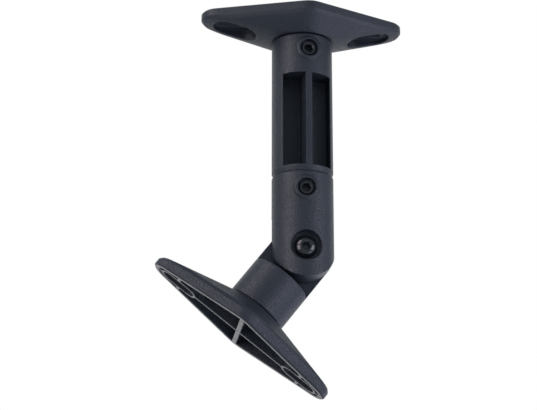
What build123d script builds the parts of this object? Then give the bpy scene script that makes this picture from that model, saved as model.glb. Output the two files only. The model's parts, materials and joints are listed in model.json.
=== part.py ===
"""Speaker wall bracket: two like plates, joined by a short tube with swivels and a tilt knuckle.

The bracket hangs from its wall plate. The origin is the middle of that plate's back face, +Z points
into the surface it is screwed to, and the tube runs down -Z. Lengths are in millimetres and angles in
degrees.
"""
import os
from math import asin, atan2, hypot, tan

from build123d import *

# Tube and its plug-in joints
tube_dia = 25.0
tube_edge = 0.4
socket_dia = 17.0
socket_depth = 15.0
socket_lead = 0.6
fit_clearance = 0.08
spigot_end_gap = 0.8
joint_gap = 0.3

# Set screws that hold the plug-in joints
screw_dia = 6.0
screw_drop = 6.6
upper_screw_drop = 7.4
thread_clearance = 0.03
screw_recess = 0.9
screw_edge = 0.3
point_dia = 4.0
point_gap = 0.3
groove_depth = 1.5
screw_key = 3.3
bolt_key = 3.0
key_depth = 3.0
key_lead = 0.35
pad_dia = 10.4
pad_proud = 0.9
pad_edge = 0.8
mouth_dia = 7.4
mouth_depth = 2.0

# Extension arm
arm_length = 59.0
arm_cap_floor = 2.1
arm_foot = 2.4
window_wall = 2.77
arm_web = 2.5
arm_rib = 2.5
foot_rise = 1.9
foot_taper = 0.7

# Half-lap tilt joint between the upper and lower knuckles
upper_edge = 0.6
upper_floor = 1.9
lower_floor = 1.85
shoulder_gap = 1.6
lap_gap = 0.2

# Pivot bolt and nut
bolt_dia = 5.0
bolt_clearance = 0.06
head_dia = 9.2
head_height = 2.7
head_rim = 0.5
head_flat = 4.4
head_dome = 4.2
counterbore_dia = 12.3
counterbore_depth = 3.75
nut_width = 8.0
nut_height = 4.0
nut_clearance = 0.1
nut_pocket_depth = 4.6
bolt_tip = 0.4

# Mounting plates
plate_length = 84.6
plate_width = 43.0
tip_radius = 7.4
flank_radius = 8.5
roof_spring = 3.4
roof_overhang = 1.5
rim_edge = 0.9
back_edge = 0.6
seat_height = 10.4
seat_margin = 0.1
land_reach = 0.8
plate_wall = 2.4
roof_wall = 2.2
long_rib = 1.3
cross_rib = 1.9
side_rib = 1.4

# Oval screw pockets in the plates' roofs, and the slots and rims behind them
pocket_end = 5.1
pocket_length = 17.8
pocket_width = 11.4
pocket_wall = 1.4
pocket_round = 0.4
slot_offset = 1.6
slot_length = 12.0
slot_width = 5.0
recess_length = 14.9
recess_width = 7.2
recess_depth = 1.5
recess_rim = 1.0
floor_thickness = 2.0

# How far each joint is turned in the rest position
arm_turn = 1.9
upper_turn = -5.6
tilt = 38.1
plate_turn = -0.5

# Sizes that follow from the ones above
tube_r = tube_dia / 2
socket_r = socket_dia / 2
spigot_r = socket_r - fit_clearance
spigot_length = socket_depth - spigot_end_gap
groove_r = spigot_r - groove_depth
groove_half = point_dia / 2 + point_gap
pad_r = tube_r + pad_proud
screw_r = screw_dia / 2
point_r = groove_r + point_gap
window_half = tube_r - window_wall
arm_cap = socket_depth + arm_cap_floor
shoulder = tube_r + shoulder_gap
pivot_drop = socket_depth + upper_floor + shoulder
collar_end = shoulder + lower_floor + socket_depth
bolt_r = bolt_dia / 2
head_base = tube_r - counterbore_depth
nut_base = tube_r - nut_pocket_depth
pocket_centre = plate_length / 2 - pocket_end - pocket_length / 2
pocket_floor = recess_depth + floor_thickness
slot_centre = pocket_centre + slot_offset
tip_centre = plate_length / 2 - tip_radius
flank_centre = plate_width / 2 - flank_radius
side_normal = atan2(tip_centre, flank_centre) + asin(
    (flank_radius - tip_radius) / hypot(tip_centre, flank_centre)
)
land_rise = land_reach / tan(side_normal)


def turned(frame, axis, angle):
    """A frame turned about a line through its origin."""
    line = Axis((0, 0, 0), axis)
    return Plane(
        origin=frame.origin, x_dir=frame.x_dir.rotate(line, angle), z_dir=frame.z_dir.rotate(line, angle)
    )


def flipped(frame):
    """A frame with its z turned to face back the way it came."""
    return Plane(origin=frame.origin, x_dir=frame.x_dir, z_dir=frame.z_dir * -1)


# Local frames: z runs away from the wall along the tube, y faces the front of the bracket
wall_frame = Plane(origin=(0, 0, 0), x_dir=(1, 0, 0), z_dir=(0, 0, -1))
arm_frame = turned(wall_frame.offset(seat_height + joint_gap), (0, 0, 1), arm_turn)
upper_frame = turned(arm_frame.offset(arm_length), (0, 0, 1), upper_turn)
pivot_frame = upper_frame.offset(pivot_drop)
lower_frame = turned(pivot_frame, pivot_frame.y_dir, -tilt)
speaker_back = flipped(lower_frame.offset(collar_end + joint_gap + seat_height))
speaker_frame = turned(speaker_back, speaker_back.z_dir, plate_turn)


def axial_section(frame):
    """Sketch plane through a frame's axis: its x is the radius and its y runs along the axis."""
    return Plane(origin=frame.origin, x_dir=frame.x_dir, z_dir=frame.y_dir * -1)


def facing(frame, drop, side):
    """Plane on a tube's axis, a given way down it, that faces the front (1) or the back (-1)."""
    return Plane(
        origin=frame.from_local_coords(Vector(0, 0, drop)), x_dir=frame.x_dir, z_dir=frame.y_dir * side
    )


def plate_outline(plane, inset):
    """Rounded rhombus of a plate, drawn in from its edge by an inset."""
    with BuildSketch(plane) as outline:
        with Locations((tip_centre, 0), (-tip_centre, 0)):
            Circle(tip_radius - inset)
        with Locations((0, flank_centre), (0, -flank_centre)):
            Circle(flank_radius - inset)
        make_hull()
    return outline.sketch


def land_outline(plane):
    """Nearly round land that a plate's roof runs up to and the tube seats over."""
    with BuildSketch(plane) as outline:
        with Locations((land_reach, 0), (-land_reach, 0), (0, land_rise), (0, -land_rise)):
            Circle(tube_r + seat_margin)
        make_hull()
    return outline.sketch


def roofed(drop, inset):
    """Plate block under its sloping roof, with its roof lowered and its sides drawn in."""
    frame = Plane.XY
    spring = roof_spring - drop
    with BuildPart() as block:
        add(plate_outline(frame, -roof_overhang))
        extrude(amount=spring, dir=frame.z_dir)
        loft(
            sections=[
                plate_outline(frame.offset(spring), -roof_overhang),
                land_outline(frame.offset(seat_height - drop)),
            ],
            ruled=True,
        )
        add(plate_outline(frame, inset))
        extrude(amount=seat_height, dir=frame.z_dir, mode=Mode.INTERSECT)
    return block.part


def ovals(plane, centre, length, width, margin):
    """A pair of ovals, one at each end of a plate, drawn out from their edge by a margin."""
    with BuildSketch(plane) as outline:
        with Locations((centre, 0), (-centre, 0)):
            SlotOverall(length + 2 * margin, width + 2 * margin)
    return outline.sketch


def bar(plane, length, width, centres):
    """Rectangles of one size at the given centres."""
    with BuildSketch(plane) as outline:
        with Locations(*centres):
            Rectangle(length, width)
    return outline.sketch


def spigot(frame, start, seat, drop):
    """Round plug that starts inside its carrier, leaves it at the seat and has a groove for a set screw."""
    end = seat + spigot_length
    groove = seat + drop
    with BuildPart() as plug:
        with BuildSketch(axial_section(frame)):
            with BuildLine():
                Polyline(
                    (0, start),
                    (spigot_r, start),
                    (spigot_r, groove - groove_half),
                    (groove_r, groove - groove_half),
                    (groove_r, groove + groove_half),
                    (spigot_r, groove + groove_half),
                    (spigot_r, end - socket_lead),
                    (spigot_r - socket_lead, end),
                    (0, end),
                    close=True,
                )
            make_face()
        revolve(axis=Axis(frame.origin, frame.z_dir))
    return plug.part


def screw_pad(plane):
    """Raised flat pad around a set screw, from the socket wall out to its proud face."""
    with BuildPart() as pad:
        with BuildSketch(plane.offset((socket_r + tube_r) / 2)):
            Circle(pad_dia / 2)
        extrude(amount=pad_r - (socket_r + tube_r) / 2)
        chamfer(pad.faces().sort_by(Axis(plane.origin, plane.z_dir))[-1].edges(), pad_edge)
    return pad.part


def screw_hole(plane):
    """Tapped hole of a set screw from the tube's axis outwards, with a wider mouth."""
    with BuildPart() as hole:
        with BuildSketch(plane):
            Circle(screw_r + thread_clearance)
        extrude(amount=pad_r)
        with BuildSketch(plane.offset(pad_r - mouth_depth)):
            Circle(mouth_dia / 2)
        extrude(amount=mouth_depth)
    return hole.part


def key_socket(plane, width):
    """Hex socket sunk from a screw's end, with a cone that leads the key in."""
    key_r = width / 2
    with BuildPart() as socket:
        with BuildSketch(plane):
            RegularPolygon(key_r, 6, major_radius=False)
        extrude(amount=-key_depth)
        with BuildSketch(plane) as rim:
            Circle(key_r + key_lead)
        with BuildSketch(plane.offset(-key_lead)) as foot:
            Circle(key_r)
        loft(sections=[rim.sketch, foot.sketch])
    return socket.part


def half_lap(frame):
    """The half of a tube that a pivot frame's y faces: a round end, and a root past the shoulder.

    The frame's z points from the lap's own tube to the lap's end.
    """
    reach = shoulder + min(upper_floor, lower_floor) / 2
    with BuildPart() as lap:
        with BuildSketch(frame.offset(-reach)):
            Circle(tube_r)
        extrude(amount=reach + tube_dia)
        with BuildSketch(facing(frame, 0, 1).offset(lap_gap / 2)):
            Circle(tube_r)
            with Locations((0, reach / 2)):
                Rectangle(2 * tube_dia, reach)
        extrude(amount=tube_dia, mode=Mode.INTERSECT)
    return lap.part


def set_screw(plane, name):
    """Headless screw with a dog point and a hex key socket."""
    body_start = spigot_r + point_gap
    body_end = pad_r - screw_recess
    with BuildPart() as screw:
        with BuildSketch(plane.offset(point_r)):
            Circle(point_dia / 2)
        extrude(amount=body_end - point_r)
        with BuildSketch(plane.offset(body_start)):
            Circle(screw_r)
        extrude(amount=body_end - body_start)
        chamfer(screw.faces().sort_by(Axis(plane.origin, plane.z_dir))[-1].edges(), screw_edge)
        add(key_socket(plane.offset(body_end), screw_key), mode=Mode.SUBTRACT)
    screw.part.label = name
    return screw.part


def plate():
    """Plate moulding on the XY plane: hollow roofed shell, ribs, two screw pockets, tube seat and spigot."""
    frame = Plane.XY
    with BuildPart() as hollow:
        add(roofed(roof_wall, plate_wall))
        add(bar(frame, plate_length, long_rib, [(0, 0)]))
        add(bar(frame, cross_rib, plate_width, [(0, 0)]))
        add(bar(frame, side_rib, plate_width, [(slot_centre, 0), (-slot_centre, 0)]))
        add(ovals(frame, slot_centre, recess_length, recess_width, recess_rim))
        extrude(amount=seat_height, mode=Mode.SUBTRACT)
        add(ovals(frame.offset(recess_depth), pocket_centre, pocket_length, pocket_width, pocket_wall))
        extrude(amount=seat_height, mode=Mode.SUBTRACT)
    with BuildPart() as shell:
        add(roofed(0, 0))
        chamfer(shell.edges().filter_by_position(Axis.Z, roof_spring, seat_height / 2), rim_edge)
        chamfer(shell.edges().filter_by_position(Axis.Z, 0, 0), back_edge)
        add(hollow.part, mode=Mode.SUBTRACT)
        add(ovals(frame.offset(pocket_floor), pocket_centre, pocket_length, pocket_width, 0))
        extrude(amount=seat_height, mode=Mode.SUBTRACT)
        cut = shell.edges(Select.LAST).filter_by(Axis.Z, reverse=True)
        fillet(cut.filter_by_position(Axis.Z, pocket_floor + pocket_round, seat_height), pocket_round)
        add(ovals(frame, slot_centre, recess_length, recess_width, 0))
        extrude(amount=recess_depth, mode=Mode.SUBTRACT)
        add(ovals(frame, slot_centre, slot_length, slot_width, 0))
        extrude(amount=pocket_floor, mode=Mode.SUBTRACT)
        add(spigot(frame, seat_height - roof_wall, seat_height, joint_gap + screw_drop))
    return shell.part


os.makedirs("parts", exist_ok=True)

# Wall plate and speaker plate, two of the same moulding
moulding = plate()
wall_plate = moulding.moved(wall_frame.location)
wall_plate.label = "wall_plate"
speaker_plate = moulding.moved(speaker_frame.location)
speaker_plate.label = "speaker_plate"

# Extension arm: socket at the top, window pockets front and back, spigot at the foot
arm_screw_plane = facing(arm_frame, screw_drop, 1)
with BuildPart() as arm:
    with BuildSketch(axial_section(arm_frame)):
        with BuildLine():
            Polyline(
                (0, socket_depth),
                (socket_r, socket_depth),
                (socket_r, socket_lead),
                (socket_r + socket_lead, 0),
                (tube_r - tube_edge, 0),
                (tube_r, tube_edge),
                (tube_r, arm_length - foot_rise),
                (tube_r - foot_taper, arm_length),
                (0, arm_length),
                close=True,
            )
        make_face()
    revolve(axis=Axis(arm_frame.origin, arm_frame.z_dir))
    add(screw_pad(arm_screw_plane))
    add(screw_hole(arm_screw_plane), mode=Mode.SUBTRACT)
    pocket_wide = window_half - arm_rib / 2
    window_middle = (arm_cap + arm_length - arm_foot) / 2
    for side in (1, -1):
        with BuildSketch(facing(arm_frame, window_middle, side).offset(arm_web / 2)):
            with GridLocations(arm_rib + pocket_wide, 0, 2, 1):
                Rectangle(pocket_wide, arm_length - arm_foot - arm_cap)
        extrude(amount=tube_r, mode=Mode.SUBTRACT)
    add(spigot(arm_frame, arm_length - arm_foot / 2, arm_length, upper_screw_drop))
arm.part.label = "extension_arm"

# Upper knuckle: socket at the top, and a rounded half lap in front with the bolt's counterbore
upper_screw_plane = facing(upper_frame, upper_screw_drop, 1)
bolt_plane = facing(pivot_frame, 0, 1)
with BuildPart() as upper:
    with BuildSketch(axial_section(upper_frame)):
        with BuildLine():
            Polyline(
                (0, socket_depth),
                (socket_r, socket_depth),
                (socket_r, socket_lead),
                (socket_r + socket_lead, 0),
                (tube_r - upper_edge, 0),
                (tube_r, upper_edge),
                (tube_r, pivot_drop - shoulder),
                (0, pivot_drop - shoulder),
                close=True,
            )
        make_face()
    revolve(axis=Axis(upper_frame.origin, upper_frame.z_dir))
    add(screw_pad(upper_screw_plane))
    add(screw_hole(upper_screw_plane), mode=Mode.SUBTRACT)
    add(half_lap(pivot_frame))
    with BuildSketch(bolt_plane):
        Circle(bolt_r + bolt_clearance)
    extrude(amount=tube_dia, mode=Mode.SUBTRACT)
    with BuildSketch(bolt_plane.offset(head_base)):
        Circle(counterbore_dia / 2)
    extrude(amount=tube_r, mode=Mode.SUBTRACT)
upper.part.label = "upper_knuckle"

# Lower knuckle: half lap behind the upper one's, nut pocket in its back, and a socket for the speaker plate
lower_screw_plane = facing(lower_frame, collar_end - screw_drop, -1)
nut_plane = facing(lower_frame, 0, -1)
with BuildPart() as lower:
    with BuildSketch(axial_section(lower_frame)):
        with BuildLine():
            Polyline(
                (0, shoulder),
                (tube_r - tube_edge, shoulder),
                (tube_r, shoulder + tube_edge),
                (tube_r, collar_end - tube_edge),
                (tube_r - tube_edge, collar_end),
                (socket_r + socket_lead, collar_end),
                (socket_r, collar_end - socket_lead),
                (socket_r, collar_end - socket_depth),
                (0, collar_end - socket_depth),
                close=True,
            )
        make_face()
    revolve(axis=Axis(lower_frame.origin, lower_frame.z_dir))
    add(screw_pad(lower_screw_plane))
    add(screw_hole(lower_screw_plane), mode=Mode.SUBTRACT)
    add(half_lap(flipped(lower_frame)))
    with BuildSketch(nut_plane):
        Circle(bolt_r + bolt_clearance)
    extrude(amount=tube_dia, mode=Mode.SUBTRACT)
    with BuildSketch(nut_plane.offset(nut_base)):
        RegularPolygon(nut_width / 2 + nut_clearance, 6, major_radius=False)
    extrude(amount=tube_r, mode=Mode.SUBTRACT)
lower.part.label = "lower_knuckle"

# Pivot bolt with a domed head, and its nut
head_r = head_dia / 2
bolt_end = nut_base + nut_height + bolt_tip
with BuildPart() as bolt:
    with BuildSketch(axial_section(turned(pivot_frame, pivot_frame.x_dir, -90))):
        with BuildLine():
            Polyline(
                (head_flat / 2, head_base + head_height),
                (0, head_base + head_height),
                (0, -bolt_end),
                (bolt_r - bolt_tip, -bolt_end),
                (bolt_r, bolt_tip - bolt_end),
                (bolt_r, head_base),
                (head_r, head_base),
                (head_r, head_base + head_rim),
            )
            RadiusArc((head_r, head_base + head_rim), (head_flat / 2, head_base + head_height), -head_dome)
        make_face()
    revolve(axis=Axis(pivot_frame.origin, pivot_frame.y_dir))
    add(key_socket(bolt_plane.offset(head_base + head_height), bolt_key), mode=Mode.SUBTRACT)
bolt.part.label = "pivot_bolt"
with BuildPart() as nut:
    with BuildSketch(nut_plane.offset(nut_base)):
        RegularPolygon(nut_width / 2, 6, major_radius=False)
        Circle(bolt_r + thread_clearance, mode=Mode.SUBTRACT)
    extrude(amount=nut_height)
nut.part.label = "pivot_nut"

# Set screws, one for each plug-in joint
wall_set_screw = set_screw(arm_screw_plane, "wall_set_screw")
arm_set_screw = set_screw(upper_screw_plane, "arm_set_screw")
speaker_set_screw = set_screw(lower_screw_plane, "speaker_set_screw")

export_step(wall_plate, "parts/wall_plate.step")
export_step(arm.part, "parts/extension_arm.step")
export_step(upper.part, "parts/upper_knuckle.step")
export_step(lower.part, "parts/lower_knuckle.step")
export_step(speaker_plate, "parts/speaker_plate.step")
export_step(wall_set_screw, "parts/wall_set_screw.step")
export_step(arm_set_screw, "parts/arm_set_screw.step")
export_step(speaker_set_screw, "parts/speaker_set_screw.step")
export_step(bolt.part, "parts/pivot_bolt.step")
export_step(nut.part, "parts/pivot_nut.step")
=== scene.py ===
"""Looks of the speaker wall bracket: charcoal moulded plastic, black fasteners, studio light and camera."""
import json
import math

import bpy
from mathutils import Euler, Matrix, Vector


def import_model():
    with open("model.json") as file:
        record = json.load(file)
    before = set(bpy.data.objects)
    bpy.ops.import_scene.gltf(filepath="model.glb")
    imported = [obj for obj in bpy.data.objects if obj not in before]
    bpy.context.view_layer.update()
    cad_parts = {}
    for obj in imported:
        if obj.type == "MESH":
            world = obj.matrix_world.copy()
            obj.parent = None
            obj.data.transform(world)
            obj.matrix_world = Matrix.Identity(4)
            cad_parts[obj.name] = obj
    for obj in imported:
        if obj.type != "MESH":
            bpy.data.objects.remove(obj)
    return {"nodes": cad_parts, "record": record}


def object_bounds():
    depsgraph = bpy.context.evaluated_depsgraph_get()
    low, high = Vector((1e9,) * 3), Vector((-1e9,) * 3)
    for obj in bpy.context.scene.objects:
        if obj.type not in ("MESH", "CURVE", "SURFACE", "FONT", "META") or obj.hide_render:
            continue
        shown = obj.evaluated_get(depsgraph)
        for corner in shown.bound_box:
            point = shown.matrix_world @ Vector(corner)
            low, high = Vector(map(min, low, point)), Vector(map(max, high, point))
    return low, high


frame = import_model()
cad_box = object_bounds()

# Camera, measured in the bracket's frame: metres, degrees, and pixels of the 537 x 410 picture
IMAGE_WIDTH = 537
FOCAL_PIXELS = 1454.6
SENSOR_MM = 36.0
CAMERA_AT = (-0.1114, -0.5472, -0.2577)
CAMERA_HEADING = 10.10
CAMERA_PITCH = 17.59
CAMERA_ROLL = 0.15
CAMERA_NEAR = 0.01

# Charcoal plastic of the mouldings: colours, roughness, grain, and the radius that moulded edges seem to have
PLASTIC_DARK = (0.0115, 0.0145, 0.0215)
PLASTIC_LIGHT = (0.0155, 0.0190, 0.0270)
GRAINED_ROUGHNESS = (0.36, 0.58)
PLAIN_ROUGHNESS = (0.22, 0.32)
GRAIN_SCALE = 1400
GRAIN_DEPTH = 0.00018
EDGE_RADIUS = 0.0006
EDGE_SAMPLES = 6

# How squarely a face looks out of a plate's back to be a plain one, without grain
BACK_FACING = 0.9

# Blackened steel of the set screws, the bolt and the nut
STEEL_DARK = (0.006, 0.0065, 0.008)
STEEL_LIGHT = (0.014, 0.0145, 0.017)
SCREW_ROUGHNESS = (0.26, 0.36)
SCREW_COAT = 0.0
BOLT_ROUGHNESS = (0.12, 0.18)
BOLT_COAT = 0.3
COAT_ROUGHNESS = 0.15

# Range in which nearly all of a noise texture lies
NOISE_LOW = 0.3
NOISE_HIGH = 0.7

# Studio round the bracket: white behind it, dim and bluish on the camera's side. It turns from one into the
# other between two cosines, counted from the direction to the camera.
STUDIO_COLOUR = (0.35, 0.42, 0.49)
STUDIO_WHITE = (1.0, 1.0, 1.0)
STUDIO_BEHIND = -0.95
STUDIO_BESIDE = -0.35

# Square lamps that face the middle of the bracket
LAMP_DISTANCE = 0.9
LAMP_SIZE = 0.5

# Pale floor under the hanging bracket
FLOOR_DROP = 0.95
FLOOR_HALF = 3.0
FLOOR_DARK = (0.80, 0.80, 0.80)
FLOOR_LIGHT = (0.84, 0.84, 0.84)
FLOOR_ROUGHNESS = 0.7
FLOOR_GLOW = 0.61
FLOOR_GLOW_COLOUR = (1.0, 0.92, 0.82)


def shader(name):
    """New node material: its tree, its Principled shader and its Object coordinates."""
    material = bpy.data.materials.new(name)
    material.use_nodes = True
    tree = material.node_tree
    principled = tree.nodes["Principled BSDF"]
    place = tree.nodes.new("ShaderNodeTexCoord").outputs["Object"]
    return material, tree, principled, place


def noise(tree, vector, scale, detail, roughness=0.5):
    """Noise texture on a coordinate socket, with its scale in cells per metre."""
    node = tree.nodes.new("ShaderNodeTexNoise")
    node.inputs["Scale"].default_value = scale
    node.inputs["Detail"].default_value = detail
    node.inputs["Roughness"].default_value = roughness
    tree.links.new(vector, node.inputs["Vector"])
    return node.outputs["Fac"]


def spread(tree, value, low, high):
    """Noise value carried onto a range from low to high."""
    node = tree.nodes.new("ShaderNodeMapRange")
    node.inputs["From Min"].default_value = NOISE_LOW
    node.inputs["From Max"].default_value = NOISE_HIGH
    node.inputs["To Min"].default_value = low
    node.inputs["To Max"].default_value = high
    tree.links.new(value, node.inputs["Value"])
    return node.outputs["Result"]


def tint(tree, value, dark, light):
    """Noise value turned into a colour between two colours."""
    node = tree.nodes.new("ShaderNodeValToRGB")
    first, last = node.color_ramp.elements
    first.position = NOISE_LOW
    first.color = (*dark, 1)
    last.position = NOISE_HIGH
    last.color = (*light, 1)
    tree.links.new(value, node.inputs["Fac"])
    return node.outputs["Color"]


def rounded(tree):
    """Normal that eases over the moulding's edges, as if they had a small radius."""
    node = tree.nodes.new("ShaderNodeBevel")
    node.samples = EDGE_SAMPLES
    node.inputs["Radius"].default_value = EDGE_RADIUS
    return node.outputs["Normal"]


def moulded_plastic():
    """Charcoal plastic with the fine spark-eroded grain of a moulding tool."""
    material, tree, principled, place = shader("moulded_plastic")
    cloud = noise(tree, place, scale=60, detail=3)
    tree.links.new(tint(tree, cloud, PLASTIC_DARK, PLASTIC_LIGHT), principled.inputs["Base Color"])
    grain = noise(tree, place, scale=GRAIN_SCALE, detail=2, roughness=0.6)
    tree.links.new(spread(tree, grain, *GRAINED_ROUGHNESS), principled.inputs["Roughness"])
    bump = tree.nodes.new("ShaderNodeBump")
    bump.inputs["Strength"].default_value = 1.0
    bump.inputs["Distance"].default_value = GRAIN_DEPTH
    tree.links.new(grain, bump.inputs["Height"])
    tree.links.new(rounded(tree), bump.inputs["Normal"])
    tree.links.new(bump.outputs["Normal"], principled.inputs["Normal"])
    return material


def smooth_plastic():
    """The same plastic where the tool is plain: the backs of the plates."""
    material, tree, principled, place = shader("smooth_plastic")
    cloud = noise(tree, place, scale=300, detail=3)
    tree.links.new(tint(tree, cloud, PLASTIC_DARK, PLASTIC_LIGHT), principled.inputs["Base Color"])
    tree.links.new(spread(tree, cloud, *PLAIN_ROUGHNESS), principled.inputs["Roughness"])
    tree.links.new(rounded(tree), principled.inputs["Normal"])
    return material


def black_oxide(name, roughness, coat):
    """Blackened steel, a little uneven in gloss, with a clear coat of the given weight."""
    material, tree, principled, place = shader(name)
    cloud = noise(tree, place, scale=400, detail=3)
    tree.links.new(tint(tree, cloud, STEEL_DARK, STEEL_LIGHT), principled.inputs["Base Color"])
    tree.links.new(spread(tree, cloud, *roughness), principled.inputs["Roughness"])
    principled.inputs["Coat Weight"].default_value = coat
    principled.inputs["Coat Roughness"].default_value = COAT_ROUGHNESS
    return material


def dress_nodes():
    """Give every solid the finish of its material slot, and the backs of the plates their plain one."""
    record = frame["record"]
    finishes = {
        "moulding": moulded_plastic(),
        "set_screw": black_oxide("set_screw_black", SCREW_ROUGHNESS, SCREW_COAT),
        "pivot_hardware": black_oxide("bolt_black", BOLT_ROUGHNESS, BOLT_COAT),
    }
    plain = smooth_plastic()
    mount_axes = {mount["name"]: Vector(mount["axis"]) for mount in record["mounts"]}
    backs = {"wall_plate": mount_axes["wall_face"], "speaker_plate": mount_axes["speaker_face"]}
    for row in record["subparts"]:
        piece = frame["nodes"][row["node"]]
        mesh = piece.data
        mesh.materials.clear()
        mesh.materials.append(finishes[row["material_slot"]])
        if row["node"] in backs:
            mesh.materials.append(plain)
            turn = piece.matrix_world.to_3x3()
            for face in mesh.polygons:
                if (turn @ face.normal).dot(backs[row["node"]]) > BACK_FACING:
                    face.material_index = 1


def camera():
    """Camera of the picture: heading turns right from +Y, pitch looks up, roll turns about the view."""
    data = bpy.data.cameras.new("camera")
    data.sensor_fit = "HORIZONTAL"
    data.sensor_width = SENSOR_MM
    data.lens = FOCAL_PIXELS / IMAGE_WIDTH * SENSOR_MM
    data.clip_start = CAMERA_NEAR
    piece = bpy.data.objects.new("camera", data)
    bpy.context.scene.collection.objects.link(piece)
    aim = Euler((math.radians(90 + CAMERA_PITCH), 0, math.radians(-CAMERA_HEADING))).to_matrix()
    roll = Matrix.Rotation(math.radians(CAMERA_ROLL), 3, "Z")
    piece.matrix_world = Matrix.Translation(CAMERA_AT) @ (aim @ roll).to_4x4()
    bpy.context.scene.camera = piece


def softbox(name, azimuth, elevation, power, colour):
    """Square area lamp that faces the middle of the bracket.

    Azimuth is counted from the camera's side, to the right as the camera sees it.
    """
    low, high = cad_box
    middle = (Vector(low) + Vector(high)) / 2
    heading = math.radians(CAMERA_HEADING - azimuth)
    rise = math.radians(elevation)
    level = math.cos(rise)
    away = Vector((-math.sin(heading) * level, -math.cos(heading) * level, math.sin(rise)))
    data = bpy.data.lights.new(name, "AREA")
    data.shape = "SQUARE"
    data.size = LAMP_SIZE
    data.energy = power
    data.color = colour
    lamp = bpy.data.objects.new(name, data)
    lamp.location = middle + away * LAMP_DISTANCE
    lamp.rotation_euler = away.to_track_quat("Z", "Y").to_euler()
    bpy.context.scene.collection.objects.link(lamp)


def world():
    """Studio seen as plain white, and mirrored so from behind the bracket, but dim on the camera's side."""
    surroundings = bpy.data.worlds.new("studio")
    bpy.context.scene.world = surroundings
    surroundings.use_nodes = True
    tree = surroundings.node_tree
    heading = math.radians(CAMERA_HEADING)
    facing = tree.nodes.new("ShaderNodeVectorMath")
    facing.operation = "DOT_PRODUCT"
    facing.inputs[1].default_value = (-math.sin(heading), -math.cos(heading), 0)
    tree.links.new(tree.nodes.new("ShaderNodeTexCoord").outputs["Generated"], facing.inputs[0])
    behind = tree.nodes.new("ShaderNodeMapRange")
    behind.interpolation_type = "SMOOTHSTEP"
    behind.inputs["From Min"].default_value = STUDIO_BEHIND
    behind.inputs["From Max"].default_value = STUDIO_BESIDE
    behind.inputs["To Min"].default_value = 1.0
    behind.inputs["To Max"].default_value = 0.0
    tree.links.new(facing.outputs["Value"], behind.inputs["Value"])
    colour = tree.nodes.new("ShaderNodeValToRGB")
    colour.color_ramp.elements[0].color = (*STUDIO_COLOUR, 1)
    colour.color_ramp.elements[1].color = (*STUDIO_WHITE, 1)
    tree.links.new(behind.outputs["Result"], colour.inputs["Fac"])
    lit = tree.nodes["Background"]
    tree.links.new(colour.outputs["Color"], lit.inputs["Color"])
    seen = tree.nodes.new("ShaderNodeBackground")
    seen.inputs["Color"].default_value = (*STUDIO_WHITE, 1)
    rays = tree.nodes.new("ShaderNodeLightPath")
    through = tree.nodes.new("ShaderNodeMath")
    through.operation = "MAXIMUM"
    tree.links.new(rays.outputs["Is Camera Ray"], through.inputs[0])
    tree.links.new(rays.outputs["Is Transmission Ray"], through.inputs[1])
    sight = tree.nodes.new("ShaderNodeMath")
    sight.operation = "MULTIPLY_ADD"
    sight.use_clamp = True
    tree.links.new(rays.outputs["Is Glossy Ray"], sight.inputs[0])
    tree.links.new(behind.outputs["Result"], sight.inputs[1])
    tree.links.new(through.outputs["Value"], sight.inputs[2])
    mix = tree.nodes.new("ShaderNodeMixShader")
    tree.links.new(sight.outputs["Value"], mix.inputs["Fac"])
    tree.links.new(lit.outputs["Background"], mix.inputs[1])
    tree.links.new(seen.outputs["Background"], mix.inputs[2])
    tree.links.new(mix.outputs["Shader"], tree.nodes["World Output"].inputs["Surface"])


def floor():
    """Pale floor below the bracket, made near white for the camera alone, so that it keeps its shadow."""
    half = FLOOR_HALF
    level = -FLOOR_DROP
    corners = [(-half, -half, level), (half, -half, level), (half, half, level), (-half, half, level)]
    mesh = bpy.data.meshes.new("floor")
    mesh.from_pydata(corners, [], [(0, 1, 2, 3)])
    piece = bpy.data.objects.new("floor", mesh)
    bpy.context.scene.collection.objects.link(piece)
    material, tree, principled, place = shader("floor_pale")
    cloud = noise(tree, place, scale=3, detail=2)
    tree.links.new(tint(tree, cloud, FLOOR_DARK, FLOOR_LIGHT), principled.inputs["Base Color"])
    principled.inputs["Roughness"].default_value = FLOOR_ROUGHNESS
    principled.inputs["Emission Color"].default_value = (*FLOOR_GLOW_COLOUR, 1)
    glow = tree.nodes.new("ShaderNodeMath")
    glow.operation = "MULTIPLY"
    glow.inputs[1].default_value = FLOOR_GLOW
    tree.links.new(tree.nodes.new("ShaderNodeLightPath").outputs["Is Camera Ray"], glow.inputs[0])
    tree.links.new(glow.outputs["Value"], principled.inputs["Emission Strength"])
    mesh.materials.append(material)


dress_nodes()
camera()
world()
floor()
softbox("key", azimuth=-52, elevation=0, power=2.5, colour=(1.0, 0.90, 0.96))
softbox("upper_left", azimuth=-55, elevation=40, power=2.5, colour=(1.0, 0.89, 0.95))
softbox("right", azimuth=60, elevation=0, power=3.1, colour=(0.88, 0.83, 1.0))
softbox("low_right", azimuth=60, elevation=-40, power=1.2, colour=(0.60, 0.78, 1.0))
softbox("low_back_right", azimuth=120, elevation=-40, power=1.8, colour=(0.76, 0.72, 1.0))
bpy.context.scene.view_settings.view_transform = "Standard"
